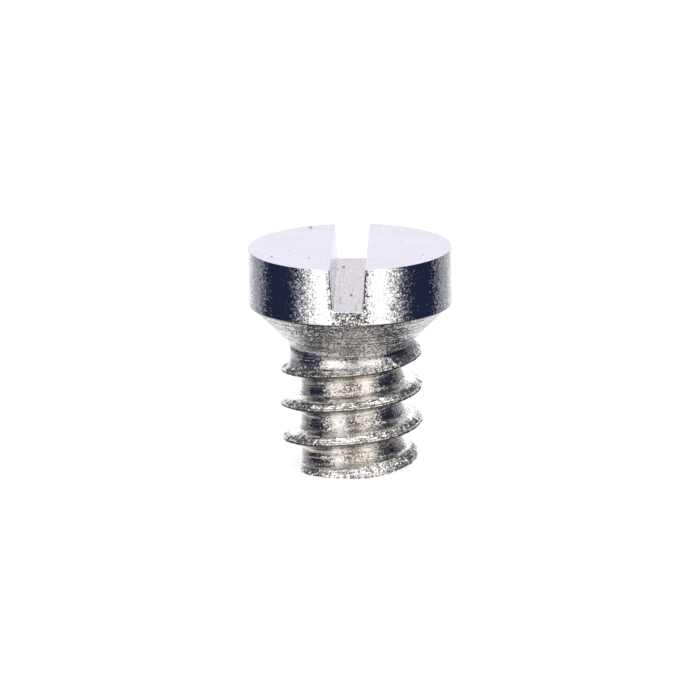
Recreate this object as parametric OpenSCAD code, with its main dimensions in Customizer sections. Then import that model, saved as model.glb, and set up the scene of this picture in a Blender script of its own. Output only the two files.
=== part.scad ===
// Slotted watch movement screw, turned from one piece of steel: a cylindrical head with a
// bevelled underside, a short plain neck and a coarse right-hand thread with a flat cut end.
// The axis is Z. The origin is the centre of the cut end, and the head is on top.

/* [Head] */
// Diameter of the cylindrical head
head_d = 1.45; // [1.43:0.01:1.8]
// Height of the head's cylindrical rim
head_h = 0.415; // [0.36:0.005:0.6]
// Width of the small chamfer that breaks the head's two edges
edge_break = 0.006; // [0.002:0.001:0.008]

/* [Slot] */
// Width of the screwdriver slot at its mouth
slot_w = 0.25; // [0.16:0.005:0.36]
// Amount by which the slot is narrower at its floor than at its mouth
slot_draft = 0.032; // [0:0.004:0.06]
// Depth of the slot where it leaves the front of the head
slot_depth_front = 0.304; // [0.2:0.004:0.34]
// Depth of the slot where it leaves the back of the head
slot_depth_back = 0.256; // [0.2:0.004:0.34]
// Radius of the slot floor's two corners
slot_corner_r = 0.022; // [0.005:0.001:0.04]
// Turn of the slot about the axis, in degrees
slot_turn = -1.7; // [-10:0.1:10]

/* [Underside and neck] */
// Diameter at which the bevel leaves the flat underside of the head
bevel_d = 1.41; // [1.2:0.01:1.43]
// Slope of the bevel, in degrees from the axis
bevel_angle = 45; // [35:1:55]
// Diameter of the neck
neck_d = 0.872; // [0.82:0.004:0.94]
// Length of the plain neck between the thread's run-out and the bevel
neck_l = 0.045; // [0.03:0.005:0.2]

/* [Thread] */
// Outer diameter of the thread
thread_d = 1; // [0.96:0.01:1.04]
// Diameter of the core at the bottom of the groove
core_d = 0.72; // [0.68:0.01:0.78]
// Pitch of the thread
pitch = 0.25; // [0.24:0.005:0.27]
// Length of the thread with its run-out, from the cut end to the plain neck
thread_l = 0.86; // [0.7:0.005:1.2]
// Width of the flat land on the crest
crest_w = 0.014; // [0.01:0.002:0.024]
// Width of the bevel on the head's side of the crest, across the axis
crest_bevel = 0.046; // [0.03:0.002:0.048]
// Slope of the crest's bevel, in degrees
crest_bevel_angle = 44; // [40:1:48]
// Slope of the flank on the side of the cut end, in degrees
flank_low = 20; // [12:1:26]
// Slope of the flank on the side of the head, below the crest's bevel, in degrees
flank_high = 14; // [8:1:16]
// Largest radius of the fillet at the bottom of each flank
root_r = 0.05; // [0.02:0.005:0.06]

/* [Thread ends] */
// Height of the first crest above the cut end, measured at the front
crest_start = 0.014; // [0:0.002:0.05]
// Turn at which the first crest starts to rise out of the core, counted from the front
crest_begin = -0.28; // [-0.34:0.01:-0.24]
// Number of turns over which the first crest rises
crest_runin = 0.16; // [0.1:0.02:0.24]
// Diameter of the thread at the cut end
tip_d = 0.9; // [0.8:0.01:0.96]
// Length over which the thread grows from the cut end's diameter to its own
tip_taper = 0.25; // [0.05:0.01:0.4]
// Distance along the axis from the end of the groove to the plain neck
groove_stop = 0.06; // [0.02:0.005:0.1]
// Number of turns over which the groove gets shallower
groove_runout = 0.36; // [0.2:0.02:0.5]
// Distance along the axis that the crest reaches past the start of the plain neck
crest_reach = 0.06; // [0.03:0.005:0.08]
// Number of turns over which the crest gets lower
crest_runout = 0.3; // [0.2:0.02:0.5]
// Height of the shoulder between the last crest and the neck
shoulder_h = 0.1; // [0.08:0.005:0.11]

/* [Smoothness] */
// Straight steps in each turn of the thread
turn_steps = 60; // [36:4:72]
// Straight steps in each fillet of the thread
fillet_steps = 4; // [3:1:5]
// Straight steps in each rounded corner of the slot
corner_steps = 6; // [3:1:8]

/* [Hidden] */
round_fn = 128;
steel = "lightsteelblue";

head_r = head_d / 2;
bevel_r = bevel_d / 2;
neck_r = neck_d / 2;
thread_r = thread_d / 2;
core_r = core_d / 2;
tip_r = tip_d / 2;

// Heights of the steps along the axis
neck_high_z = thread_l + neck_l;
bevel_h = (bevel_r - neck_r) / tan(bevel_angle);
underside_z = neck_high_z + bevel_h;
top_z = underside_z + head_h;

// Slot: the floor is tilted, and the walls lean apart towards the mouth
slot_tilt = atan((slot_depth_front - slot_depth_back) / head_d);
slot_floor_z = top_z - (slot_depth_front + slot_depth_back) / 2;
slot_reach = 0.2;
slot_floor_half_w = (slot_w - slot_draft) / 2;
wall_lean = atan(slot_draft / (slot_depth_front + slot_depth_back));

// Thread: turns are counted up the helix from the crest at the front of the cut end
front_angle = 270;
groove_end = (thread_l - groove_stop - crest_start) / pitch - 0.5;
groove_full = groove_end - groove_runout;
shoulder_turns = 0.72;
fillet_share = 0.9;
shoulder_full = groove_full + shoulder_turns;
crest_end = (thread_l + crest_reach - crest_start) / pitch;
crest_full = crest_end - crest_runout;
bevel_share = 0.75;
shoulder_bevel = min(crest_bevel, bevel_share * (thread_r - neck_r));
shoulder_slope = atan((shoulder_h - crest_w / 2 - shoulder_bevel * tan(crest_bevel_angle))
    / (thread_r - neck_r - shoulder_bevel));

// The shank starts below the cut end and ends inside the head, by these amounts all round
end_overlap = 0.02;
head_overlap = 0.02;
first_turn = -(end_overlap + crest_start) / pitch - 0.5;
last_turn = (neck_high_z + head_overlap - crest_start) / pitch + 0.5;
first_row = floor(first_turn * turn_steps);
last_row = ceil(last_turn * turn_steps);
row_count = last_row - first_row + 1;

// Smooth ramp from 0 at low to 1 at high
function ramp(x, low, high) =
    let (u = min(1, max(0, (x - low) / (high - low))))
    u * u * (3 - 2 * u);

// Radius at the bottom of the groove above the crest, after so many turns
function root_radius(turns) =
    core_r + (neck_r - core_r) * ramp(turns, groove_full, groove_end);

// Slope of the flank above the crest, which steepens to the shoulder below the neck
function upper_slope(turns) =
    flank_high + (shoulder_slope - flank_high) * ramp(turns, groove_full, shoulder_full);

// Radius of the crest, which grows along the taper behind the cut end
function crest_radius(turns) =
    let (z = crest_start + pitch * turns)
    thread_r - (thread_r - tip_r) * max(0, 1 - z / tip_taper);

// One flank from the middle of the groove to its outer edge, as radius and distance from the
// crest. The fillet is limited by the groove's floor and by the flank.
function flank(bottom_r, edge, slope) =
    let (
        half_angle = (90 + slope) / 2,
        foot = edge[1] + (edge[0] - bottom_r) * tan(slope),
        floor_limit = fillet_share * (pitch / 2 - foot) * tan(half_angle),
        flank_limit = fillet_share * (edge[0] - bottom_r) / (1 - sin(slope)),
        fillet_r = min(root_r, floor_limit, flank_limit),
        arc_z = foot + fillet_r / tan(half_angle)
    )
    concat(
        [[bottom_r, pitch / 2]],
        [for (i = [0:fillet_steps])
            let (a = 180 - (90 - slope) * i / fillet_steps)
            [bottom_r + fillet_r * (1 + cos(a)), arc_z - fillet_r * sin(a)]],
        [edge]
    );

// The thread's outline over one pitch, as radius and height from the crest, without its last
// point
function outline(turns) =
    let (
        crest_r = crest_radius(turns),
        lost = thread_r - crest_r,
        low_edge = [crest_r, crest_w / 2 + lost * tan(flank_low)],
        high_edge = [crest_r, crest_w / 2 + lost * tan(flank_high)],
        root_above = root_radius(turns),
        bevel = min(crest_bevel, bevel_share * (crest_r - root_above)),
        bevel_edge = high_edge + [-bevel, bevel * tan(crest_bevel_angle)],
        below = flank(root_radius(turns - 1), low_edge, flank_low),
        above = flank(root_above, bevel_edge, upper_slope(turns)),
        risen = ramp(turns, crest_begin, crest_begin + crest_runin),
        fade = ramp(turns, crest_full, crest_end)
    )
    [for (p = concat(
            [for (q = below) [q[0], -q[1]]],
            [high_edge],
            [for (i = [len(above) - 1:-1:1]) above[i]]))
        let (r = core_r + (p[0] - core_r) * risen)
        [r + (neck_r - r) * fade, p[1]]];

// A point of the outline, turned to its place on the helix
function on_helix(point, turns) =
    let (a = front_angle + 360 * turns)
    [point[0] * cos(a), point[0] * sin(a), crest_start + pitch * turns + point[1]];

module threaded_shank() {
    rows = [for (row = [first_row:last_row]) outline(row / turn_steps)];
    width = len(rows[0]);
    last = row_count - 1;
    top_turn = row_count - turn_steps;
    body = [for (i = [0:last]) each
        [for (p = rows[i]) on_helix(p, (first_row + i) / turn_steps)]];
    // The top edge of the last turn has no further turn to share its points with
    rim = [for (i = [top_turn:last])
        on_helix([neck_r, pitch / 2], (first_row + i) / turn_steps)];
    low_centre = [0, 0, crest_start + pitch * first_row / turn_steps];
    high_centre = [0, 0, crest_start + pitch * last_row / turn_steps];
    points = concat(body, rim, [low_centre, high_centre]);
    low = len(points) - 2;
    high = len(points) - 1;
    // Number of the point at a row and a place in the outline. The place after the last is the
    // first place of the row one turn further on.
    function at(i, j) =
        j < width ? i * width + j
        : i < top_turn ? (i + turn_steps) * width
        : row_count * width + i - top_turn;
    skin = [for (i = [0:last - 1], j = [0:width - 1]) each [
        [at(i, j), at(i, j + 1), at(i + 1, j + 1)],
        [at(i, j), at(i + 1, j + 1), at(i + 1, j)]]];
    low_cap = concat(
        [for (i = [0:turn_steps - 1]) [low, at(i, 0), at(i + 1, 0)]],
        [for (j = [0:width - 1]) [low, at(0, j + 1), at(0, j)]]);
    high_cap = concat(
        [for (i = [top_turn - 1:last - 1]) [high, at(i + 1, width), at(i, width)]],
        [for (j = [0:width - 1]) [high, at(last, j), at(last, j + 1)]]);
    polyhedron(points, concat(skin, low_cap, high_cap), convexity = 8);
}

// What the cutting tool leaves above the cut end
module cut_length() {
    cylinder(h = top_z, r = head_r, $fn = round_fn);
}

// The head with its bevel, whose cone runs on a little way into the neck
module head() {
    cone_overlap = 0.03;
    rotate_extrude($fn = round_fn)
        polygon([
            [0, neck_high_z - cone_overlap / tan(bevel_angle)],
            [neck_r - cone_overlap, neck_high_z - cone_overlap / tan(bevel_angle)],
            [bevel_r, underside_z],
            [head_r - edge_break, underside_z],
            [head_r, underside_z + edge_break],
            [head_r, top_z - edge_break],
            [head_r - edge_break, top_z],
            [0, top_z]
        ]);
}

// Half of the slot's section, from the middle of its floor out and up past its mouth
function slot_half() =
    let (
        rise = slot_depth_front + slot_reach,
        arc_turn = 90 - wall_lean,
        arc_x = slot_floor_half_w - slot_corner_r * tan(arc_turn / 2)
    )
    concat(
        [for (i = [0:corner_steps])
            let (a = arc_turn * i / corner_steps)
            [arc_x + slot_corner_r * sin(a), slot_corner_r * (1 - cos(a))]],
        [[slot_floor_half_w + rise * tan(wall_lean), rise]]
    );

module slot() {
    right = slot_half();
    left = [for (i = [len(right) - 1:-1:0]) [-right[i][0], right[i][1]]];
    translate([0, 0, slot_floor_z])
        rotate([0, 0, slot_turn])
            rotate([slot_tilt, 0, 0])
                rotate([90, 0, 0])
                    linear_extrude(height = head_d + 2 * slot_reach, center = true)
                        polygon(concat(right, left));
}

module screw() {
    color(steel)
        difference() {
            union() {
                head();
                intersection() {
                    threaded_shank();
                    cut_length();
                }
            }
            slot();
        }
}

screw();
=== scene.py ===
"""The looks of a slotted watch movement screw, one millimetre across its thread."""

import logging
import math
from dataclasses import dataclass, field
from enum import Enum

import bmesh
import bpy
from mathutils import Matrix, Vector, noise


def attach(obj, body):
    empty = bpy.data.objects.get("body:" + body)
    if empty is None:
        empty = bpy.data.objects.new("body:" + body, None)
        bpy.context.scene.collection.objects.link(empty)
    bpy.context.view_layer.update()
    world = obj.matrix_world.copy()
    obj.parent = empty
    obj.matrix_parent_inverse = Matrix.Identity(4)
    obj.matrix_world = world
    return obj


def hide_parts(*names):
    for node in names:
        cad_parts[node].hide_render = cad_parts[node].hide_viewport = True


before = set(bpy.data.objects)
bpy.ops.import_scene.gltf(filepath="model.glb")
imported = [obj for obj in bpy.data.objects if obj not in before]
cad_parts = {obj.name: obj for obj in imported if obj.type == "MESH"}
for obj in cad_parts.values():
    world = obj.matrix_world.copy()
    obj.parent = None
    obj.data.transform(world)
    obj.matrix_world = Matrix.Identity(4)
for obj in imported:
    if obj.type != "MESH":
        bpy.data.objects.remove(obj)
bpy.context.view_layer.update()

MM = 0.001
ROW_NODE = "screw"
# How much longer a pit is towards the front than across, and where its edge starts and ends
# in shares of its radius
PIT_LENGTH = 3.4
PIT_EDGE = (1.3, 0.6)
# The slot's turn about the axis in degrees, and half of its floor's width in millimetres
SLOT_TURN = -1.7
SLOT_FLOOR_HALF = 0.109

log = logging.getLogger("screw")

Colour = tuple[float, float, float]
Point = tuple[float, float]
Span = tuple[float, float]


def ramp(value: float, low: float, high: float) -> float:
    """Smooth ramp of a number.

    Args:
        value: The number.
        low: Where the ramp leaves 0.
        high: Where the ramp reaches 1.

    Returns:
        A number from 0 to 1.
    """
    u = min(1.0, max(0.0, (value - low) / (high - low)))
    return u * u * (3 - 2 * u)


# Shader graphs


class Field:
    """A shader value that adds its Math nodes as it is used in Python expressions."""

    def __init__(self, graph: "Graph", socket: bpy.types.NodeSocket) -> None:
        """Wraps a socket of a graph."""
        self.graph = graph
        self.socket = socket

    def __add__(self, other: "Field | float") -> "Field":
        """The sum."""
        return self.graph.math("ADD", self, other)

    def __radd__(self, other: float) -> "Field":
        """The sum, with the number first."""
        return self.graph.math("ADD", other, self)

    def __sub__(self, other: "Field | float") -> "Field":
        """The difference."""
        return self.graph.math("SUBTRACT", self, other)

    def __rsub__(self, other: float) -> "Field":
        """The difference, with the number first."""
        return self.graph.math("SUBTRACT", other, self)

    def __mul__(self, other: "Field | float") -> "Field":
        """The product."""
        return self.graph.math("MULTIPLY", self, other)

    def __rmul__(self, other: float) -> "Field":
        """The product, with the number first."""
        return self.graph.math("MULTIPLY", other, self)

    def __truediv__(self, other: "Field | float") -> "Field":
        """The quotient."""
        return self.graph.math("DIVIDE", self, other)

    def __rtruediv__(self, other: float) -> "Field":
        """The quotient, with the number first."""
        return self.graph.math("DIVIDE", other, self)


Value = Field | float | Colour


class Graph:
    """The node tree of one material or of the world."""

    def __init__(self, tree: bpy.types.NodeTree) -> None:
        """Empties the tree."""
        self.tree = tree
        tree.nodes.clear()

    def node(
        self,
        kind: str,
        settings: dict | None = None,
        values: dict[str | int, Value] | None = None,
    ) -> bpy.types.Node:
        """Adds one node.

        Args:
            kind: The node's type.
            settings: The node's own settings, set before its sockets.
            values: A number, colour or shader value for each input socket.

        Returns:
            The node.
        """
        made = self.tree.nodes.new(kind)
        for name, value in (settings or {}).items():
            setattr(made, name, value)
        for name, value in (values or {}).items():
            socket = made.inputs[name]
            if isinstance(value, Field):
                self.tree.links.new(value.socket, socket)
            elif isinstance(value, tuple) and socket.type == "RGBA":
                socket.default_value = (*value, 1.0)
            else:
                socket.default_value = value
        return made

    def out(self, made: bpy.types.Node, name: str | int = 0) -> Field:
        """The shader value at one of a node's outputs."""
        return Field(self, made.outputs[name])

    def math(self, operation: str, *values: Field | float) -> Field:
        """One Math node.

        Args:
            operation: What the node does.
            values: Its numbers or shader values.

        Returns:
            The result.
        """
        made = self.node("ShaderNodeMath", {"operation": operation}, dict(enumerate(values)))
        return self.out(made)

    def rise(self, value: Field, low: float, high: float) -> Field:
        """Smooth ramp of a shader value.

        Args:
            value: The shader value.
            low: Where the ramp is 0, above or below high.
            high: Where the ramp is 1.

        Returns:
            A value from 0 to 1.
        """
        made = self.node(
            "ShaderNodeMapRange",
            {"interpolation_type": "SMOOTHSTEP"},
            {"Value": value, "From Min": min(low, high), "From Max": max(low, high)},
        )
        made.inputs["To Min"].default_value = 0.0 if low < high else 1.0
        made.inputs["To Max"].default_value = 1.0 if low < high else 0.0
        return self.out(made)

    def blend(self, factor: Field | float, first: Field | Colour, second: Field | Colour) -> Field:
        """Mixes two colours.

        Args:
            factor: 0 for the first, 1 for the second.
            first: A colour.
            second: A colour.

        Returns:
            The mixed colour.
        """
        made = self.node(
            "ShaderNodeMix", {"data_type": "RGBA"}, {0: factor, 6: first, 7: second}
        )
        return self.out(made, 2)

    def vector(self, operation: str, *values: Field | Colour) -> Field:
        """One Vector Math node.

        Args:
            operation: What the node does.
            values: Its vectors.

        Returns:
            The resulting vector, or the number of a node that gives one.
        """
        made = self.node("ShaderNodeVectorMath", {"operation": operation}, dict(enumerate(values)))
        return self.out(made, "Value" if operation == "DISTANCE" else "Vector")

    def scale(self, place: Field, factor: Field | float) -> Field:
        """A vector, longer or shorter by a factor."""
        made = self.node(
            "ShaderNodeVectorMath", {"operation": "SCALE"}, {0: place, "Scale": factor}
        )
        return self.out(made)

    def stretch(self, place: Field, factors: Colour) -> Field:
        """A place, with each of its coordinates times a factor of its own."""
        return self.vector("MULTIPLY", place, factors)

    def split(self, place: Field) -> tuple[Field, Field, Field]:
        """The three coordinates of a place."""
        made = self.node("ShaderNodeSeparateXYZ", values={0: place})
        return self.out(made, 0), self.out(made, 1), self.out(made, 2)

    def join(self, x: Field | float, y: Field | float, z: Field | float) -> Field:
        """A place with these three coordinates."""
        return self.out(self.node("ShaderNodeCombineXYZ", values={0: x, 1: y, 2: z}))

    def noise(
        self,
        place: Field,
        scale: float,
        detail: float = 2.0,
        rough: float = 0.5,
        w: Field | None = None,
    ) -> Field:
        """Noise at a place.

        Args:
            place: The place.
            scale: Grains in each unit of length.
            detail: How many finer layers are added.
            rough: How strong the finer layers are.
            w: A fourth coordinate, if the noise has one.

        Returns:
            A value about 0.5.
        """
        values = {"Vector": place, "Scale": scale, "Detail": detail, "Roughness": rough}
        if w is None:
            return self.out(self.node("ShaderNodeTexNoise", {"noise_dimensions": "3D"}, values))
        values["W"] = w
        return self.out(self.node("ShaderNodeTexNoise", {"noise_dimensions": "4D"}, values))

    def patches(self, place: Field, scale: float, detail: float, span: Span) -> Field:
        """A mask of uneven patches.

        Args:
            place: The place.
            scale: Grains in each unit of length.
            detail: How many finer layers the grains have.
            span: The noise at which the mask is 0, and that at which it is 1.

        Returns:
            The mask.
        """
        return self.rise(self.noise(place, scale, detail), *span)

    def facets(self, place: Field, scale: float) -> Field:
        """A vector for each small facet of a gritty surface.

        Args:
            place: The place.
            scale: Facets in each unit of length.

        Returns:
            A vector whose parts are from -1 to 1.
        """
        made = self.node(
            "ShaderNodeTexVoronoi",
            {"voronoi_dimensions": "3D", "feature": "F1"},
            {"Vector": place, "Scale": scale, "Randomness": 1.0},
        )
        centred = self.vector("SUBTRACT", self.out(made, "Color"), (0.5, 0.5, 0.5))
        return self.scale(centred, 2.0)

    def place_mm(self) -> Field:
        """The place on the screw, in millimetres."""
        made = self.node("ShaderNodeTexCoord")
        return self.scale(self.out(made, "Object"), 1 / MM)

    def outward(self, place: Field) -> Field:
        """The distance of a place from the axis."""
        x, y, _ = self.split(place)
        return self.math("SQRT", x * x + y * y)

    def beyond_floor(self, place: Field) -> Field:
        """How far a place is across the slot from the nearer edge of its floor.

        Args:
            place: The place in millimetres.

        Returns:
            The distance in millimetres, less than 0 over the floor.
        """
        x, y, _ = self.split(place)
        a = math.radians(SLOT_TURN)
        return self.math("ABSOLUTE", x * math.cos(a) + y * math.sin(a)) - SLOT_FLOOR_HALF

    def spots(self, place: Field, pits: "tuple[Pit, ...]") -> Field:
        """A mask of small pits in a flat face across the axis, drawn out towards the front.

        Args:
            place: The place in millimetres.
            pits: The pits.

        Returns:
            1 in a pit and 0 elsewhere.
        """
        x, y, _ = self.split(place)
        flat = self.join(x, y / PIT_LENGTH, 0.0)
        dark: Field | float = 0.0
        for pit in pits:
            edge = self.vector("DISTANCE", flat, (pit.x, pit.y / PIT_LENGTH, 0.0))
            dark = self.rise(edge, *(share * pit.radius for share in PIT_EDGE)) + dark
        return dark


# Finishes


@dataclass(frozen=True)
class Steel:
    """What every steel finish of the screw has.

    The grit is small facets that tilt at random and break up the edge of a reflection. Its
    scale is in facets to the millimetre. The tilt is the slope of most facets, and the spark
    is the further slope of the few that stand out. In all finishes a scale is in grains to the
    millimetre, a depth or reach is in millimetres, and a span is where a mask is 0 and 1.
    """

    name: str = "steel"
    colour: Colour = (0.84, 0.83, 0.85)
    roughness: float = 0.12
    roughness_spread: float = 0.05
    grit_scale: float = 100.0
    tilt: float = 0.05
    spark: float = 0.1
    gloss_scale: float = 9.0
    ripple_scale: float = 30.0
    ripple_depth: float = 0.0004

    def relief(self, graph: Graph, place: Field) -> Field:
        """The height of the surface in millimetres, which each finish adds its marks to."""
        return graph.noise(place, self.ripple_scale, 2.0) * self.ripple_depth

    def grit(self, graph: Graph, place: Field) -> Field | float:
        """How strong the grit is over the surface."""
        return 1.0

    def paint(self, graph: Graph, place: Field) -> Field | Colour:
        """The colour over the surface."""
        return self.colour

    def gloss(self, graph: Graph, place: Field) -> Field:
        """The roughness over the surface."""
        uneven = graph.noise(place, self.gloss_scale, 3.0) - 0.5
        return self.roughness + uneven * (2 * self.roughness_spread)

    def facing(self, graph: Graph, place: Field) -> Field:
        """The direction that the surface faces, with its grit.

        Args:
            graph: The material's nodes.
            place: The place in millimetres.

        Returns:
            The direction, one long.
        """
        facet = graph.facets(place, self.grit_scale)
        cube = graph.vector("MULTIPLY", graph.vector("MULTIPLY", facet, facet), facet)
        even = graph.scale(facet, self.tilt)
        lean = graph.vector("ADD", even, graph.scale(cube, self.spark))
        straight = graph.out(graph.node("ShaderNodeNewGeometry"), "Normal")
        leaning = graph.vector("ADD", straight, graph.scale(lean, self.grit(graph, place)))
        return graph.vector("NORMALIZE", leaning)

    def material(self) -> bpy.types.Material:
        """Makes the finish.

        Returns:
            The material.
        """
        made = bpy.data.materials.new(self.name)
        made.use_nodes = True
        graph = Graph(made.node_tree)
        place = graph.place_mm()
        bump = graph.node(
            "ShaderNodeBump",
            values={
                "Strength": 1.0,
                "Distance": MM,
                "Height": self.relief(graph, place),
                "Normal": self.facing(graph, place),
            },
        )
        shader = graph.node(
            "ShaderNodeBsdfPrincipled",
            values={
                "Base Color": self.paint(graph, place),
                "Metallic": 1.0,
                "Roughness": self.gloss(graph, place),
                "Normal": graph.out(bump),
            },
        )
        graph.node("ShaderNodeOutputMaterial", values={"Surface": graph.out(shader)})
        return made


@dataclass(frozen=True)
class Pit:
    """A small dark pit in a surface, with its place and radius in millimetres."""

    x: float
    y: float
    radius: float


@dataclass(frozen=True)
class LappedTop(Steel):
    """The flat top of the head, lapped bright and even, with a few small pits."""

    name: str = "lapped_top"
    colour: Colour = (0.69, 0.68, 0.74)
    grained: Colour = (0.57, 0.56, 0.61)
    roughness: float = 0.16
    tilt: float = 0.01
    spark: float = 0.03
    pits: tuple[Pit, ...] = (
        Pit(-0.279, 0.611, 0.014),
        Pit(-0.557, -0.272, 0.01),
        Pit(-0.293, -0.317, 0.008),
        Pit(-0.43, -0.1, 0.005),
        Pit(0.36, 0.15, 0.005),
        Pit(0.52, -0.28, 0.005),
    )
    pit_colour: Colour = (0.22, 0.21, 0.25)
    cloud_scale: float = 4.0
    cloud_share: float = 0.3
    grain_scale: float = 80.0
    grain_share: float = 0.7
    grain_stretch: Colour = (1.0, 0.5, 1.0)
    uneven_span: Span = (0.35, 0.7)

    def paint(self, graph: Graph, place: Field) -> Field:
        """The steel's colour, darker in the pits.

        Args:
            graph: The material's nodes.
            place: The place in millimetres.

        Returns:
            The colour.
        """
        cloud = graph.patches(place, self.cloud_scale, 3.0, self.uneven_span)
        drawn = graph.stretch(place, self.grain_stretch)
        grain = graph.patches(drawn, self.grain_scale, 1.0, self.uneven_span)
        uneven = cloud * self.cloud_share + grain * self.grain_share
        even = graph.blend(uneven, self.colour, self.grained)
        return graph.blend(graph.spots(place, self.pits), even, self.pit_colour)


@dataclass(frozen=True)
class PolishedRim(Steel):
    """The cylindrical side of the head, polished, with a fine grit and chips beside the slot."""

    name: str = "polished_rim"
    colour: Colour = (0.86, 0.86, 0.87)
    # Dark colour for the chips beside the slot, and for the painted shade along the lower edge.
    chipped_and_edge_shade: Colour = (0.06, 0.055, 0.055)
    roughness: float = 0.08
    roughness_spread: float = 0.02
    grit_scale: float = 115.0
    tilt: float = 0.075
    spark: float = 0.05
    # The lower edge's band gets painted shade, standing in for the dark that the rounded edge
    # mirrors.
    low_edge: float = 1.1935
    low_band: float = 0.008
    low_edge_shade: float = 0.7
    slot_floor: float = 1.309
    slot_lean: float = 0.0571
    slot_band: float = 0.012
    chip_scale: float = 70.0
    chip_span: Span = (0.47, 0.56)
    chip_reach: Span = (0.042, 0.008)
    chip_dark: float = 0.75
    nick_scale: float = 30.0
    nick_span: Span = (0.3, 0.5)
    nick_reach: Span = (0.011, 0.006)
    rough_reach: Span = (0.04, 0.0)
    rough_more: float = 0.7

    def beside(self, graph: Graph, place: Field) -> Field:
        """How far a place is outside the slot's walls."""
        _, _, z = graph.split(place)
        return graph.beyond_floor(place) - (z - self.slot_floor) * self.slot_lean

    def grit(self, graph: Graph, place: Field) -> Field:
        """How strong the grit is: more right beside the slot."""
        return graph.rise(self.beside(graph, place), *self.rough_reach) * self.rough_more + 1.0

    def paint(self, graph: Graph, place: Field) -> Field:
        """The steel's colour, with dark chips along the slot and painted shade along the lower edge.

        Args:
            graph: The material's nodes.
            place: The place in millimetres.

        Returns:
            The colour.
        """
        _, _, z = graph.split(place)
        beside = self.beside(graph, place)
        chips = graph.patches(place, self.chip_scale, 2.0, self.chip_span)
        chips = chips * graph.rise(beside, *self.chip_reach) * self.chip_dark
        nicks = graph.patches(place, self.nick_scale, 2.0, self.nick_span)
        nicks = nicks * graph.rise(beside, *self.nick_reach)
        opened = graph.rise(z, self.slot_floor - self.slot_band, self.slot_floor)
        # low is painted shade along the rim's lower edge; the chips and nicks are wear.
        low = graph.rise(z, self.low_edge, self.low_edge - self.low_band)
        dark = (nicks + chips) * opened + low * self.low_edge_shade
        return graph.blend(graph.math("MINIMUM", dark, 1.0), self.colour, self.chipped_and_edge_shade)


@dataclass(frozen=True)
class SawnSlot(Steel):
    """The slot, with the saw's marks along it."""

    name: str = "sawn_slot"
    colour: Colour = (0.61, 0.58, 0.605)
    streaked: Colour = (0.34, 0.32, 0.34)
    speckled: Colour = (0.42, 0.4, 0.4)
    wall_reflection: Colour = (0.93, 0.92, 0.93)
    # Paler steel on the walls, a painted reflection that makes them read white.
    roughness: float = 0.2
    tilt: float = 0.04
    spark: float = 0.1
    mark_depth: float = 0.0008
    pits: tuple[Pit, ...] = (
        Pit(-0.045, 0.49, 0.011),
        Pit(0.006, -0.27, 0.011),
        Pit(-0.07, 0.1, 0.005),
        Pit(0.05, 0.2, 0.004),
    )
    pit_colour: Colour = (0.05, 0.05, 0.06)
    mark_stretch: Colour = (60.0, 1.2, 60.0)
    wall_span: Span = (-0.014, 0.002)
    wall_clean: float = 0.8
    streak_stretch: Colour = (50.0, 2.0, 50.0)
    streak_span: Span = (0.5, 0.68)
    streak_back: float = 0.2
    streak_front: float = 0.6
    front_span: Span = (0.1, -0.5)
    speck_stretch: Colour = (1.0, 0.45, 1.0)
    speck_scale: float = 95.0
    speck_span: Span = (0.44, 0.66)
    speck_share: float = 0.8
    speck_clean: float = 0.7

    def relief(self, graph: Graph, place: Field) -> Field:
        """The saw's marks."""
        marks = graph.noise(graph.stretch(place, self.mark_stretch), 1.0, 2.0)
        return super().relief(graph, place) + marks * self.mark_depth

    def paint(self, graph: Graph, place: Field) -> Field:
        """The steel's colour, speckled, with streaks at the front and pits, and paler walls as a
        painted reflection.

        Args:
            graph: The material's nodes.
            place: The place in millimetres.

        Returns:
            The colour.
        """
        _, y, _ = graph.split(place)
        # The walls get the paler steel as a painted reflection, with fainter streaks and specks.
        wall_reflection = graph.rise(graph.beyond_floor(place), *self.wall_span)
        base = graph.blend(wall_reflection, self.colour, self.wall_reflection)
        front = graph.rise(y, *self.front_span) * self.streak_front + self.streak_back
        drawn = graph.stretch(place, self.streak_stretch)
        streaks = graph.patches(drawn, 1.0, 3.0, self.streak_span) * front
        short = graph.stretch(place, self.speck_stretch)
        speck = graph.patches(short, self.speck_scale, 2.0, self.speck_span) * self.speck_share
        specked = graph.blend(speck * (1 - wall_reflection * self.speck_clean), base, self.speckled)
        marked = graph.blend(streaks * (1 - wall_reflection * self.wall_clean), specked, self.streaked)
        return graph.blend(graph.spots(place, self.pits), marked, self.pit_colour)


@dataclass(frozen=True)
class TurnedBevel(Steel):
    """The bevel under the head, with the lathe tool's fine rings."""

    name: str = "turned_bevel"
    colour: Colour = (0.86, 0.84, 0.83)
    roughness: float = 0.16
    tilt: float = 0.13
    spark: float = 0.22
    warm: Colour = (0.84, 0.78, 0.74)
    warm_scale: float = 5.0
    warm_span: Span = (0.45, 0.65)
    warm_share: float = 0.6
    scored: Colour = (0.3, 0.29, 0.3)
    ring_depth: float = 0.0046
    ring_stretch: Colour = (3.0, 3.0, 62.0)
    score_stretch: Colour = (2.0, 2.0, 55.0)
    score_span: Span = (0.46, 0.6)
    score_share: float = 0.75
    blot_scale: float = 60.0
    blot_span: Span = (0.5, 0.64)
    blot_share: float = 0.25

    def relief(self, graph: Graph, place: Field) -> Field:
        """The rings round the axis."""
        rings = graph.noise(graph.stretch(place, self.ring_stretch), 1.0, 3.0, 0.7)
        return super().relief(graph, place) + rings * self.ring_depth

    def paint(self, graph: Graph, place: Field) -> Field:
        """The steel's colour, with darker and warmer rings.

        Args:
            graph: The material's nodes.
            place: The place in millimetres.

        Returns:
            The colour.
        """
        rings = graph.noise(graph.stretch(place, self.score_stretch), 1.0, 3.0, 0.6)
        blot = graph.patches(place, self.blot_scale, 2.0, self.blot_span)
        dark = graph.rise(rings, *self.score_span) * self.score_share + blot * self.blot_share
        warm = graph.patches(place, self.warm_scale, 2.0, self.warm_span) * self.warm_share
        return graph.blend(dark, graph.blend(warm, self.colour, self.warm), self.scored)


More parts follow.
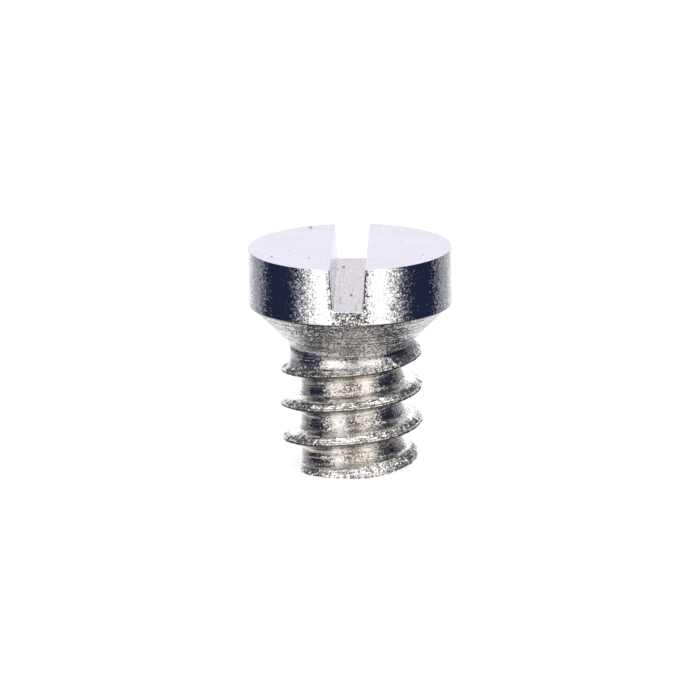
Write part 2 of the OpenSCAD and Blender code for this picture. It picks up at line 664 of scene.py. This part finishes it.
@dataclass(frozen=True)
class CutThread(Steel):
    """The thread and the neck, gritty and a little warm, with tool marks along the helix."""

    name: str = "cut_thread"
    colour: Colour = (0.86, 0.845, 0.825)
    warm: Colour = (0.87, 0.805, 0.72)
    pale: Colour = (0.97, 0.95, 0.925)
    # Dark colour for the lines and specks along the helix, and for the painted shadow under the
    # crest.
    dark_marks_and_shade: Colour = (0.13, 0.125, 0.13)
    # Darker steel round the neck, just under the head: painted shade.
    neck_shade: Colour = (0.32, 0.3, 0.28)
    roughness: float = 0.14
    roughness_spread: float = 0.05
    grit_scale: float = 125.0
    tilt: float = 0.14
    spark: float = 0.16
    pitch: float = 0.25
    start: float = 0.014
    end_span: Span = (0.05, 0.1)
    # Where the painted shade round the neck sets in, and how strong it is.
    neck_shade_span: Span = (0.845, 0.875)
    neck_shade_share: float = 0.85
    flank_radius: Span = (0.365, 0.38)
    crest_radius: Span = (0.43, 0.46)
    grit_radius: Span = (0.445, 0.46)
    grit_least: float = 0.36
    grit_crest: float = 0.1
    grit_uneven: float = 0.5
    uneven_scale: float = 7.0
    uneven_span: Span = (0.35, 0.65)
    swell_scale: float = 12.0
    swell_depth: float = 0.004
    mark_scale: float = 44.0
    mark_slow: float = 2.0
    mark_depth: float = 0.009
    fleck_scale: float = 42.0
    fleck_depth: float = 0.01
    fleck_height: Span = (0.07, 0.03)
    patch_scale: float = 6.0
    patch_span: Span = (0.3, 0.55)
    land_height: Span = (0.2, 0.17)
    ledge_height: Span = (0.17, 0.15)
    # The lip under the crest is darkened as a painted shadow.
    lip_height: Span = (0.022, 0.004)
    lip_shade: float = 0.95
    line_scale: float = 40.0
    line_slow: float = 3.0
    line_span: Span = (0.52, 0.64)
    line_dark: float = 0.42
    line_crest: float = -0.25
    line_ledge: float = 0.6
    speck_scale: float = 85.0
    speck_slow: float = 28.0
    speck_span: Span = (0.54, 0.62)
    speck_dark: float = 0.12
    speck_crest: float = 0.34
    turn_change: float = 4.0

    def above_crest(self, graph: Graph, place: Field) -> Field:
        """How far a place is above the crest below it, as a share of the pitch.

        Args:
            graph: The material's nodes.
            place: The place in millimetres.

        Returns:
            The share, from 0 to 1.
        """
        x, y, z = graph.split(place)
        turn = graph.math("ARCTAN2", x, y * -1.0) / math.tau
        return graph.math("FRACT", (z - self.start) / self.pitch - turn)

    def near_crest(self, graph: Graph, place: Field, height: Span) -> Field:
        """A mask of the crest's outer part that falls with the height above its lower edge.

        Args:
            graph: The material's nodes.
            place: The place in millimetres.
            height: The share of the pitch above the crest at which the mask is 0, and that
                below which it is 1.

        Returns:
            The mask.
        """
        share = graph.math("FRACT", self.above_crest(graph, place) + 0.5) - 0.5
        outer = graph.rise(graph.outward(place), *self.crest_radius)
        _, _, z = graph.split(place)
        return graph.rise(share, *height) * outer * graph.rise(z, *self.end_span)

    def along(self, graph: Graph, place: Field, fine: float, slow: float) -> Field:
        """Noise drawn out along the helix.

        Args:
            graph: The material's nodes.
            place: The place in millimetres.
            fine: Grains in a millimetre along the axis.
            slow: Grains in a millimetre round the axis.

        Returns:
            The noise, whose lines change from one turn to the next.
        """
        x, y, z = graph.split(place)
        height = self.above_crest(graph, place) * (self.pitch * fine)
        drawn = graph.join(x * slow, y * slow, height)
        return graph.noise(drawn, 1.0, 3.0, 0.6, w=z * self.turn_change)

    def relief(self, graph: Graph, place: Field) -> Field:
        """Slow swells under the tool marks along the helix.

        Args:
            graph: The material's nodes.
            place: The place in millimetres.

        Returns:
            The height in millimetres.
        """
        marks = self.along(graph, place, self.mark_scale, self.mark_slow) * self.mark_depth
        swell = graph.noise(place, self.swell_scale, 1.0) * self.swell_depth
        edge = self.near_crest(graph, place, self.fleck_height) * self.fleck_depth
        return swell + marks + graph.noise(place, self.fleck_scale, 2.0) * edge

    def grit(self, graph: Graph, place: Field) -> Field:
        """How strong the grit is: more on the crest, and uneven elsewhere.

        Args:
            graph: The material's nodes.
            place: The place in millimetres.

        Returns:
            The strength, about 1.
        """
        crest = graph.rise(graph.outward(place), *self.grit_radius)
        uneven = graph.patches(place, self.uneven_scale, 2.0, self.uneven_span)
        return uneven * self.grit_uneven + crest * self.grit_crest + self.grit_least

    def marks_and_shade(self, graph: Graph, place: Field) -> Field:
        """How dark the steel is: dark lines and specks along the helix, and a painted shadow on the
        lip under the crest.

        Args:
            graph: The material's nodes.
            place: The place in millimetres.

        Returns:
            A mask from 0 to 1.
        """
        crest = self.near_crest(graph, place, self.land_height)
        lip = self.near_crest(graph, place, self.lip_height)
        ledge = crest * (1 - self.near_crest(graph, place, self.ledge_height))
        drawn = self.along(graph, place, self.line_scale, self.line_slow)
        lines = graph.rise(drawn, *self.line_span)
        short = self.along(graph, place, self.speck_scale, self.speck_slow)
        specks = graph.rise(short, *self.speck_span)
        dark = lines * (crest * self.line_crest + self.line_dark)
        dark = dark + specks * (crest * self.speck_crest + self.speck_dark)
        # lip is a painted shadow under the crest's edge.
        dark = dark + lip * self.lip_shade + ledge * lines * self.line_ledge
        return graph.math("MINIMUM", dark, 1.0)

    def paint(self, graph: Graph, place: Field) -> Field:
        """Warm steel in the groove and pale on the flanks, with painted shade round the neck, dark
        marks and a painted shadow under the crest.

        Args:
            graph: The material's nodes.
            place: The place in millimetres.

        Returns:
            The colour.
        """
        patch = graph.patches(place, self.patch_scale, 3.0, self.patch_span)
        groove = graph.blend(patch, self.colour, self.warm)
        flanks = graph.rise(graph.outward(place), *self.flank_radius)
        tone = graph.blend(flanks, groove, self.pale)
        _, _, z = graph.split(place)
        # Painted shade on the neck under the head.
        neck = graph.rise(z, *self.neck_shade_span) * self.neck_shade_share
        return graph.blend(self.marks_and_shade(graph, place), graph.blend(neck, tone, self.neck_shade), self.dark_marks_and_shade)


@dataclass(frozen=True)
class CutEnd(Steel):
    """The flat end, parted off with a tool that leaves rings."""

    name: str = "cut_end"
    colour: Colour = (0.8, 0.78, 0.76)
    roughness: float = 0.24
    ring_scale: float = 40.0
    ring_depth: float = 0.002

    def relief(self, graph: Graph, place: Field) -> Field:
        """The rings round the centre.

        Args:
            graph: The material's nodes.
            place: The place in millimetres.

        Returns:
            The height in millimetres.
        """
        outward = graph.outward(place) * self.ring_scale
        rings = graph.noise(graph.join(outward, 0.0, 0.0), 1.0, 2.0)
        return super().relief(graph, place) + rings * self.ring_depth


class Region(Enum):
    """The parts of the screw's surface, each with a finish of its own."""

    TOP = LappedTop()
    RIM = PolishedRim()
    SLOT = SawnSlot()
    BEVEL = TurnedBevel()
    THREAD = CutThread()
    END = CutEnd()


# Meshes


def new_object(name: str, mesh: bmesh.types.BMesh) -> bpy.types.Object:
    """Makes an object from mesh code's own mesh.

    Args:
        name: The object's name.
        mesh: The mesh, which is freed.

    Returns:
        The object, linked to the scene.
    """
    data = bpy.data.meshes.new(name)
    bmesh.ops.recalc_face_normals(mesh, faces=mesh.faces)
    mesh.to_mesh(data)
    mesh.free()
    made = bpy.data.objects.new(name, data)
    bpy.context.scene.collection.objects.link(made)
    return made


def apply_modifiers(piece: bpy.types.Object) -> None:
    """Turns what an object's modifiers make into its own mesh.

    Args:
        piece: The object.
    """
    graph = bpy.context.evaluated_depsgraph_get()
    graph.update()
    old = piece.data
    piece.data = bpy.data.meshes.new_from_object(piece.evaluated_get(graph), depsgraph=graph)
    piece.modifiers.clear()
    bpy.data.meshes.remove(old)


def combine(piece: bpy.types.Object, other: bpy.types.Object, operation: str) -> None:
    """Adds or cuts one solid, which is then removed.

    Args:
        piece: The solid that is changed.
        other: The solid that is added or cut away.
        operation: UNION or DIFFERENCE.
    """
    step = piece.modifiers.new("solid", "BOOLEAN")
    step.operation = operation
    step.solver = "EXACT"
    step.object = other
    apply_modifiers(piece)
    bpy.data.objects.remove(other)


@dataclass
class Slot:
    """The screwdriver slot, cut right across the head on a floor that rises to the back."""

    width: float = 0.25
    draft: float = 0.032
    depth_front: float = 0.304
    depth_back: float = 0.256
    corner: float = 0.022
    turn: float = SLOT_TURN
    reach: float = 0.2
    corner_steps: int = 6

    def section(self) -> list[Point]:
        """The cutter's outline across the slot, from its floor's middle up.

        Returns:
            Points, as distance across and height over the floor.
        """
        lean = math.atan(self.draft / (self.depth_front + self.depth_back))
        floor_half = (self.width - self.draft) / 2
        rise = self.depth_front + self.reach
        sweep = math.pi / 2 - lean
        start = floor_half - self.corner * math.tan(sweep / 2)
        half = []
        for i in range(self.corner_steps + 1):
            a = sweep * i / self.corner_steps
            half.append((start + self.corner * math.sin(a), self.corner * (1 - math.cos(a))))
        half.append((floor_half + rise * math.tan(lean), rise))
        return half + [(-x, z) for x, z in reversed(half)]

    def build(self, head_diameter: float, top: float) -> bpy.types.Object:
        """Makes the cutter.

        Args:
            head_diameter: The head's diameter.
            top: The height of the head's top.

        Returns:
            The cutter, in place.
        """
        mesh = bmesh.new()
        half = head_diameter / 2 + self.reach
        ends = [
            [mesh.verts.new((x, y, z)) for x, z in self.section()] for y in (-half, half)
        ]
        near, far = ends
        mesh.faces.new(near)
        mesh.faces.new(list(reversed(far)))
        for i in range(len(near)):
            j = (i + 1) % len(near)
            mesh.faces.new((near[i], far[i], far[j], near[j]))
        floor = top - (self.depth_front + self.depth_back) / 2
        tilt = math.atan((self.depth_front - self.depth_back) / head_diameter)
        mesh.transform(
            Matrix.Translation((0, 0, floor))
            @ Matrix.Rotation(math.radians(self.turn), 4, "Z")
            @ Matrix.Rotation(tilt, 4, "X")
        )
        return new_object("slot_cutter", mesh)


@dataclass
class Head:
    """The cylindrical head with its bevelled underside."""

    diameter: float = 1.45
    height: float = 0.415
    bevel_diameter: float = 1.41
    bevel_angle: float = 45.0
    edge: float = 0.006
    edge_steps: int = 3
    edge_angle: float = 35.0
    low_edge: float = 0.012
    neck_diameter: float = 0.872
    neck_high: float = 0.905
    neck_overlap: float = 0.035
    neck_skin: float = 0.0006
    fillet: float = 0.06
    fillet_steps: int = 8
    steps: int = 288
    slot: Slot = field(default_factory=Slot)

    @property
    def underside(self) -> float:
        """The height of the head's underside."""
        spread = (self.bevel_diameter - self.neck_diameter) / 2
        return self.neck_high + spread / math.tan(math.radians(self.bevel_angle))

    @property
    def top(self) -> float:
        """The height of the head's top."""
        return self.underside + self.height

    def profile(self) -> list[Point]:
        """The head's outline.

        Returns:
            Points, as radius and height, from the axis below to the axis above.
        """
        slope = math.radians(self.bevel_angle)
        neck = self.neck_diameter / 2 + self.neck_skin
        start = self.neck_high - self.fillet * math.tan(slope / 2)
        points = [(0.0, self.neck_high - self.neck_overlap)]
        points.append((neck, self.neck_high - self.neck_overlap))
        for i in range(self.fillet_steps + 1):
            a = slope * i / self.fillet_steps
            points.append((neck + self.fillet * (1 - math.cos(a)), start + self.fillet * math.sin(a)))
        points += [
            (self.bevel_diameter / 2, self.underside),
            (self.diameter / 2 - self.low_edge, self.underside),
            (self.diameter / 2, self.underside + self.low_edge),
            (self.diameter / 2, self.top),
            (0.0, self.top),
        ]
        return points

    def build(self) -> bpy.types.Object:
        """Makes the head with its slot, and breaks its edges.

        Returns:
            The head.
        """
        mesh = bmesh.new()
        profile = self.profile()
        rings = []
        for radius, height in profile[1:-1]:
            ring = []
            for i in range(self.steps):
                a = math.tau * i / self.steps
                ring.append(mesh.verts.new((radius * math.cos(a), radius * math.sin(a), height)))
            rings.append(ring)
        mesh.faces.new(list(reversed(rings[0])))
        mesh.faces.new(rings[-1])
        for low, high in zip(rings, rings[1:]):
            for i in range(self.steps):
                j = (i + 1) % self.steps
                mesh.faces.new((low[i], low[j], high[j], high[i]))
        head = new_object("head", mesh)
        combine(head, self.slot.build(self.diameter, self.top), "DIFFERENCE")
        worn = head.modifiers.new("worn", "BEVEL")
        worn.width = self.edge
        worn.segments = self.edge_steps
        worn.limit_method = "ANGLE"
        worn.angle_limit = math.radians(self.edge_angle)
        apply_modifiers(head)
        return head


@dataclass
class Thread:
    """The threaded shank, swept along its helix.

    The crest is torn and dented with noise, whose scales are in grains to the millimetre. A
    band is where the noise sets in and where it is full, from the crest's edge.
    """

    diameter: float = 1.0
    core: float = 0.72
    pitch: float = 0.25
    length: float = 0.86
    crest: float = 0.014
    bevel: float = 0.046
    bevel_angle: float = 44.0
    bevel_share: float = 0.75
    flank_low: float = 20.0
    flank_high: float = 14.0
    root: float = 0.05
    start: float = 0.014
    tip_diameter: float = 0.9
    tip_taper: float = 0.25
    groove_stop: float = 0.06
    groove_runout: float = 0.36
    crest_reach: float = 0.06
    crest_runout: float = 0.3
    crest_in_start: float = -0.28
    crest_in_end: float = -0.12
    shoulder: float = 0.1
    shoulder_turns: float = 0.72
    neck_diameter: float = 0.872
    neck_high: float = 0.905
    overlap: float = 0.02
    front: float = 270.0
    turn_steps: int = 320
    fillet_steps: int = 6
    fillet_share: float = 0.9
    flank_shares: tuple[float, ...] = (0.33, 0.67, 1.0)
    bevel_shares: tuple[float, ...] = (0.08, 0.36, 0.64, 0.92)
    torn_band: Span = (-0.062, -0.02)
    dent_band: Span = (-0.02, -0.005)
    burr: float = 0.02
    burr_run: float = 20.0
    burr_across: float = 60.0
    burr_least: float = 0.2
    burr_lift: float = 0.6
    wobble: float = 0.0032
    wobble_lift: float = 1.2
    wobble_squash: float = 0.7
    slow_scale: float = 9.0
    quick_scale: float = 45.0
    lift_scale: float = 32.0
    dent_scale: float = 50.0

    @property
    def groove_end(self) -> float:
        """The turn at which the groove is gone."""
        return (self.length - self.groove_stop - self.start) / self.pitch - 0.5

    @property
    def crest_end(self) -> float:
        """The turn at which the crest is gone."""
        return (self.length + self.crest_reach - self.start) / self.pitch

    def groove_radius(self, turns: float) -> float:
        """The radius at the bottom of the groove above the crest.

        Args:
            turns: How far up the helix.

        Returns:
            The radius.
        """
        full = self.groove_end - self.groove_runout
        depth = (self.neck_diameter - self.core) / 2
        return self.core / 2 + depth * ramp(turns, full, self.groove_end)

    def upper_slope(self, turns: float) -> float:
        """The slope of the flank above the crest.

        Args:
            turns: How far up the helix.

        Returns:
            The slope in degrees.
        """
        full = self.groove_end - self.groove_runout
        across = (self.diameter - self.neck_diameter) / 2
        bevel = min(self.bevel, self.bevel_share * across)
        rise = self.shoulder - self.crest / 2 - bevel * self.bevel_lean
        steep = math.degrees(math.atan(rise / (across - bevel)))
        share = ramp(turns, full, full + self.shoulder_turns)
        return self.flank_high + (steep - self.flank_high) * share

    @property
    def bevel_lean(self) -> float:
        """How far the crest's bevel rises for each millimetre across the axis."""
        return math.tan(math.radians(self.bevel_angle))

    def crest_radius(self, turns: float) -> float:
        """The radius of the crest, which grows behind the cut end.

        Args:
            turns: How far up the helix.

        Returns:
            The radius.
        """
        height = self.start + self.pitch * turns
        growth = max(0.0, 1 - height / self.tip_taper)
        return (self.diameter - (self.diameter - self.tip_diameter) * growth) / 2

    def flank(self, bottom: float, edge: Point, slope: float) -> list[Point]:
        """One flank from the middle of the groove to its outer edge.

        Args:
            bottom: The radius at the bottom of the groove.
            edge: The flank's outer edge.
            slope: The flank's slope in degrees.

        Returns:
            Points, as radius and distance from the crest along the axis.
        """
        lean = math.tan(math.radians(slope))
        half_angle = math.radians((90 + slope) / 2)
        foot = edge[1] + (edge[0] - bottom) * lean
        floor_limit = (self.pitch / 2 - foot) * math.tan(half_angle)
        flank_limit = (edge[0] - bottom) / (1 - math.sin(math.radians(slope)))
        fillet = min(self.root, self.fillet_share * min(floor_limit, flank_limit))
        arc = foot + fillet / math.tan(half_angle)
        points = [(bottom, self.pitch / 2)]
        for i in range(self.fillet_steps + 1):
            a = math.radians(180 - (90 - slope) * i / self.fillet_steps)
            points.append((bottom + fillet * (1 + math.cos(a)), arc - fillet * math.sin(a)))
        start = points[-1]
        for share in self.flank_shares:
            points.append(tuple(f + (e - f) * share for f, e in zip(start, edge)))
        return points

    def outline(self, turns: float) -> list[Point]:
        """The thread's outline over one pitch, without its last point.

        Args:
            turns: How far up the helix.

        Returns:
            Points, as radius and height from the crest, going up.
        """
        crest_radius = self.crest_radius(turns)
        lost = self.diameter / 2 - crest_radius
        low = self.crest / 2 + lost * math.tan(math.radians(self.flank_low))
        high = self.crest / 2 + lost * math.tan(math.radians(self.flank_high))
        root_above = self.groove_radius(turns)
        bevel = min(self.bevel, self.bevel_share * (crest_radius - root_above))
        bevel_edge = (crest_radius - bevel, high + bevel * self.bevel_lean)
        below = self.flank(self.groove_radius(turns - 1), (crest_radius, low), self.flank_low)
        above = self.flank(root_above, bevel_edge, self.upper_slope(turns))
        round_off = self.crest / 4
        points = [(r, -z) for r, z in below[:-1]]
        points += [(crest_radius - round_off, -low), (crest_radius, round_off - low)]
        points.append((crest_radius, high - round_off))
        for share in self.bevel_shares:
            along = bevel * share
            points.append((crest_radius - along, high + along * self.bevel_lean))
        points += list(reversed(above[1:-1]))
        fade = ramp(turns, self.crest_end - self.crest_runout, self.crest_end)
        neck = self.neck_diameter / 2
        faded = [(r + (neck - r) * fade, z) for r, z in points]
        core, lead = self.core / 2, ramp(turns, self.crest_in_start, self.crest_in_end)
        led = [(core + (r - core) * lead, z) for r, z in faded]
        return [self.ragged(r, z, crest_radius, turns, lead * (1 - fade)) for r, z in led]

    def ragged(self, r: float, z: float, crest: float, turns: float, share: float) -> Point:
        """Moves a point near the crest, where the tool has torn the edge.

        Args:
            r: The point's radius.
            z: The point's height from the crest.
            crest: The crest's radius.
            turns: How far up the helix.
            share: How much of the crest is left.

        Returns:
            The moved point.
        """
        near = ramp(r - crest, *self.torn_band) * share
        if near <= 0:
            return r, z
        run = turns * math.tau * crest
        spot = Vector((run, z * self.wobble_squash, 0.0))
        slow = noise.noise(spot * self.slow_scale + Vector((0, 3, 0)))
        quick = noise.noise(spot * self.quick_scale + Vector((0, 7, 0)))
        lift = noise.noise(spot * self.lift_scale + Vector((0, 17, 0)))
        tear = noise.noise(Vector((run * self.burr_run, 11.0, z * self.burr_across)))
        burr = self.burr * max(0.0, tear - self.burr_least)
        dent = noise.noise(Vector((run, z, 0.0)) * self.dent_scale)
        dent *= ramp(r - crest, *self.dent_band)
        out = self.wobble * (slow + quick + dent) + burr
        up = self.wobble * self.wobble_lift * (lift + dent) + self.burr_lift * burr
        return r + near * out, z + near * up

    def build(self) -> bpy.types.Object:
        """Sweeps the thread and cuts it off at the flat end.

        Returns:
            The shank, closed at both ends.
        """
        first_turn = -(self.overlap + self.start) / self.pitch - 0.5
        last_turn = (self.neck_high + self.overlap - self.start) / self.pitch + 0.5
        first = math.floor(first_turn * self.turn_steps)
        last = math.ceil(last_turn * self.turn_steps)
        mesh = bmesh.new()

        def put(point: Point, row: int) -> bmesh.types.BMVert:
            """Adds a point of the outline, turned to its place on the helix.

            Args:
                point: The point, as radius and height from the crest.
                row: How many steps up the helix.

            Returns:
                The new vertex.
            """
            turns = row / self.turn_steps
            a = math.radians(self.front + 360 * turns)
            height = self.start + self.pitch * turns + point[1]
            return mesh.verts.new((point[0] * math.cos(a), point[0] * math.sin(a), height))

        rows = [
            [put(p, row) for p in self.outline(row / self.turn_steps)]
            for row in range(first, last + 1)
        ]
        top_turn = len(rows) - self.turn_steps
        rim = (self.neck_diameter / 2, self.pitch / 2)
        for i, row in enumerate(rows):
            if i < top_turn:
                row.append(rows[i + self.turn_steps][0])
            else:
                row.append(put(rim, first + i))
        for one, two in zip(rows, rows[1:]):
            for j in range(len(one) - 1):
                mesh.faces.new((one[j], two[j], two[j + 1], one[j + 1]))
        low = mesh.verts.new((0, 0, self.start + self.pitch * first / self.turn_steps))
        high = mesh.verts.new((0, 0, self.start + self.pitch * last / self.turn_steps))
        low_loop = [rows[i][0] for i in range(self.turn_steps + 1)]
        low_loop += list(reversed(rows[0][:-1]))
        high_loop = [rows[i][-1] for i in range(top_turn - 1, len(rows))]
        high_loop += list(reversed(rows[-1][:-1]))
        for centre, loop in ((low, low_loop), (high, high_loop)):
            for one, two in zip(loop, loop[1:]):
                mesh.faces.new((centre, one, two))
        cut = bmesh.ops.bisect_plane(
            mesh,
            geom=mesh.verts[:] + mesh.edges[:] + mesh.faces[:],
            plane_co=(0, 0, 0),
            plane_no=(0, 0, 1),
            clear_inner=True,
        )
        edges = [e for e in cut["geom_cut"] if isinstance(e, bmesh.types.BMEdge)]
        bmesh.ops.contextual_create(mesh, geom=edges)
        return new_object("shank", mesh)


@dataclass
class Screw:
    """The whole screw, one piece of steel."""

    head: Head = field(default_factory=Head)
    thread: Thread = field(default_factory=Thread)
    level_limit: float = 0.5
    flat_limit: float = 0.9
    sharp_angle: float = 27.0
    skin: float = 0.0015
    bevel_foot: float = 0.012

    def build(self) -> bpy.types.Object:
        """Joins the head and the shank into one solid, in metres.

        Returns:
            The screw.
        """
        screw = self.head.build()
        combine(screw, self.thread.build(), "UNION")
        screw.name = "turned_screw"
        screw.data.name = "turned_screw"
        self.dress(screw)
        screw.data.shade_smooth()
        screw.data.set_sharp_from_angle(angle=math.radians(self.sharp_angle))
        even = screw.modifiers.new("even", "WEIGHTED_NORMAL")
        even.keep_sharp = True
        apply_modifiers(screw)
        screw.data.transform(Matrix.Scale(MM, 4))
        return screw

    def region(self, centre: Vector, normal: Vector) -> Region:
        """Says which finish a face has.

        Args:
            centre: The face's centre, in millimetres.
            normal: The face's normal.

        Returns:
            The region of the surface.
        """
        head, slot = self.head, self.head.slot
        if centre.z > head.underside - self.skin:
            turn = math.radians(slot.turn)
            across = abs(centre.x * math.cos(turn) + centre.y * math.sin(turn))
            radius = math.hypot(centre.x, centre.y)
            if centre.z > head.top - self.skin and normal.z > self.level_limit:
                return Region.TOP
            if across < slot.width / 2 and radius < head.diameter / 2 - self.skin:
                return Region.SLOT
            return Region.RIM
        if centre.z < self.skin and normal.z < -self.flat_limit:
            return Region.END
        if centre.z > head.neck_high - self.bevel_foot:
            return Region.BEVEL
        return Region.THREAD

    def dress(self, screw: bpy.types.Object) -> None:
        """Gives each face its finish.

        Args:
            screw: The screw, in millimetres.
        """
        regions = list(Region)
        screw.data.materials.clear()
        for region in regions:
            screw.data.materials.append(region.value.material())
        for face in screw.data.polygons:
            face.material_index = regions.index(self.region(face.center, face.normal))


# Studio


@dataclass(frozen=True)
class Surroundings:
    """What the steel mirrors: two bright panels in front, dark sides and a pale back.

    A turn is in degrees round the axis from the front, and a height in degrees up from the
    level. Each span is where a colour sets in and where it is full.
    """

    panel: Colour = (1.24, 1.23, 1.22)
    gap: Colour = (0.09, 0.09, 0.09)
    gap_high: Colour = (0.6, 0.59, 0.58)
    dusk: Colour = (0.014, 0.02, 0.05)
    dusk_high: Colour = (0.06, 0.062, 0.075)
    dusk_low: Colour = (0.13, 0.128, 0.125)
    side: Colour = (0.3, 0.3, 0.33)
    back: Colour = (1.15, 1.13, 1.2)
    low_back: Colour = (1.35, 1.33, 1.36)
    low_front: Colour = (0.8, 0.79, 0.78)
    under: Colour = (0.045, 0.043, 0.043)
    over: Colour = (1.22, 1.2, 1.16)
    gap_turn: Span = (7.0, 24.0)
    gap_height: Span = (10.0, 40.0)
    panel_turn: float = 70.0
    panel_more: float = 45.0
    panel_soft: float = 27.0
    panel_height: Span = (28.0, 50.0)
    high_height: Span = (8.0, 32.0)
    dusk_low_height: Span = (-24.0, -45.0)
    side_turn: Span = (114.0, 121.0)
    level_back_turn: Span = (128.0, 178.0)
    high_back_turn: Span = (147.0, 163.0)
    raised_height: Span = (-6.0, 6.0)
    behind_span: Span = (-0.72, -0.45)
    low_back_height: Span = (-22.0, -42.0)
    low_back_share: float = 0.6
    low_front_height: Span = (-30.0, -50.0)
    under_height: Span = (-42.0, -62.0)
    over_height: Span = (40.0, 66.0)

    def pattern(self, graph: Graph, direction: Field) -> Field:
        """The colour seen in a direction.

        Args:
            graph: The world's nodes.
            direction: The direction, one long.

        Returns:
            The colour.
        """
        x, y, z = graph.split(direction)
        degree = math.degrees(1.0)
        turn = graph.math("ABSOLUTE", graph.math("ARCTAN2", x, y * -1.0)) * degree
        height = graph.math("ARCSINE", z) * degree
        high = graph.rise(height, *self.high_height)
        dusk = graph.blend(high, self.dusk, self.dusk_high)
        dusk = graph.blend(graph.rise(height, *self.dusk_low_height), dusk, self.dusk_low)
        gap = graph.blend(graph.rise(height, *self.gap_height), self.gap, self.gap_high)
        panel = graph.blend(graph.rise(turn, *self.gap_turn), gap, self.panel)
        reach = graph.rise(height, *self.panel_height) * self.panel_more + self.panel_turn
        near = graph.math("MINIMUM", 1.0, (reach - turn) / self.panel_soft)
        near = graph.math("MAXIMUM", 0.0, near)
        colour = graph.blend(near * near, dusk, panel)
        side = graph.rise(turn, *self.side_turn) * (1 - high)
        colour = graph.blend(side, colour, self.side)
        raised = graph.rise(height, *self.raised_height)
        back = graph.rise(turn, *self.level_back_turn) * (1 - raised)
        back = back + graph.rise(turn, *self.high_back_turn) * raised
        colour = graph.blend(back, colour, self.back)
        behind = graph.rise(y, *self.behind_span)
        low_back = graph.rise(height, *self.low_back_height) * behind * self.low_back_share
        colour = graph.blend(low_back, colour, self.low_back)
        low_front = graph.rise(height, *self.low_front_height) * (1 - behind)
        colour = graph.blend(low_front, colour, self.low_front)
        under = graph.rise(height, *self.under_height) * behind
        colour = graph.blend(under, colour, self.under)
        return graph.blend(graph.rise(height, *self.over_height), colour, self.over)

    def build(self) -> None:
        """Makes the world."""
        world = bpy.data.worlds.new("surroundings")
        bpy.context.scene.world = world
        world.use_nodes = True
        graph = Graph(world.node_tree)
        coordinates = graph.node("ShaderNodeTexCoord")
        mirrored = self.pattern(graph, graph.out(coordinates, "Generated"))
        light_path = graph.node("ShaderNodeLightPath")
        seen = graph.out(light_path, "Is Camera Ray")
        shown = graph.blend(seen, mirrored, (1.0, 1.0, 1.0))
        background = graph.node("ShaderNodeBackground", values={"Color": shown, "Strength": 1.0})
        graph.node("ShaderNodeOutputWorld", values={"Surface": graph.out(background)})


@dataclass
class Floor:
    """The white floor, which keeps a soft shadow."""

    radius: float = 60.0
    steps: int = 64
    albedo: float = 0.2
    glow: float = 0.88

    def build(self) -> bpy.types.Object:
        """Makes the floor.

        Returns:
            The floor, in metres.
        """
        mesh = bmesh.new()
        bmesh.ops.create_circle(mesh, cap_ends=True, radius=self.radius * MM, segments=self.steps)
        floor = new_object("floor", mesh)
        material = bpy.data.materials.new("white_floor")
        material.use_nodes = True
        graph = Graph(material.node_tree)
        shade = graph.node(
            "ShaderNodeBsdfDiffuse", values={"Color": (self.albedo, self.albedo, self.albedo)}
        )
        light_path = graph.node("ShaderNodeLightPath")
        glow = graph.node(
            "ShaderNodeEmission",
            values={"Strength": graph.out(light_path, "Is Camera Ray") * self.glow},
        )
        both = graph.node("ShaderNodeAddShader", values={0: graph.out(shade), 1: graph.out(glow)})
        graph.node("ShaderNodeOutputMaterial", values={"Surface": graph.out(both)})
        floor.data.materials.append(material)
        floor.visible_glossy = False
        return floor


@dataclass
class Lamp:
    """A soft square lamp over the screw."""

    size: float = 16.0
    height: float = 18.0
    power: float = 0.0012

    def build(self) -> bpy.types.Object:
        """Makes the lamp.

        Returns:
            The lamp.
        """
        data = bpy.data.lights.new("overhead", "AREA")
        data.shape = "SQUARE"
        data.size = self.size * MM
        data.energy = self.power
        lamp = bpy.data.objects.new("overhead", data)
        lamp.location = (0, 0, self.height * MM)
        bpy.context.scene.collection.objects.link(lamp)
        return lamp


@dataclass
class Camera:
    """A long lens, a little above the screw and in front of it."""

    elevation: float = 13.8
    roll: float = -0.7
    across: float = 5.0
    lens: float = 800.0
    sensor: float = 36.0
    clip_near: float = 0.2
    clip_far: float = 4.0
    aim_right: float = -0.0175
    aim_up: float = 0.8093

    def build(self) -> bpy.types.Object:
        """Makes the camera and hands it to the scene.

        Returns:
            The camera.
        """
        e = math.radians(self.elevation)
        back = Vector((0, -math.cos(e), math.sin(e)))
        level_right, level_up = Vector((1, 0, 0)), Vector((0, math.sin(e), math.cos(e)))
        a = math.radians(self.roll)
        right = math.cos(a) * level_right + math.sin(a) * level_up
        up = math.cos(a) * level_up - math.sin(a) * level_right
        target = right * self.aim_right + up * self.aim_up
        distance = self.across * self.lens / self.sensor
        data = bpy.data.cameras.new("camera")
        data.lens = self.lens
        data.sensor_width = self.sensor
        data.clip_start = distance * MM * self.clip_near
        data.clip_end = distance * MM * self.clip_far
        camera = bpy.data.objects.new("camera", data)
        turn = Matrix((right, up, back)).transposed().to_4x4()
        camera.matrix_world = Matrix.Translation((target + back * distance) * MM) @ turn
        bpy.context.scene.collection.objects.link(camera)
        bpy.context.scene.camera = camera
        return camera


def main() -> None:
    """Builds the studio and the screw, in order."""
    logging.basicConfig(level=logging.INFO, format="%(message)s")
    bpy.context.scene.view_settings.view_transform = "Standard"
    Camera().build()
    Surroundings().build()
    Lamp().build()
    Floor().build()
    screw = Screw().build()
    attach(screw, "root")
    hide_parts(ROW_NODE)
    log.info("%s: %d faces", screw.name, len(screw.data.polygons))


if __name__ == "__main__":
    main()
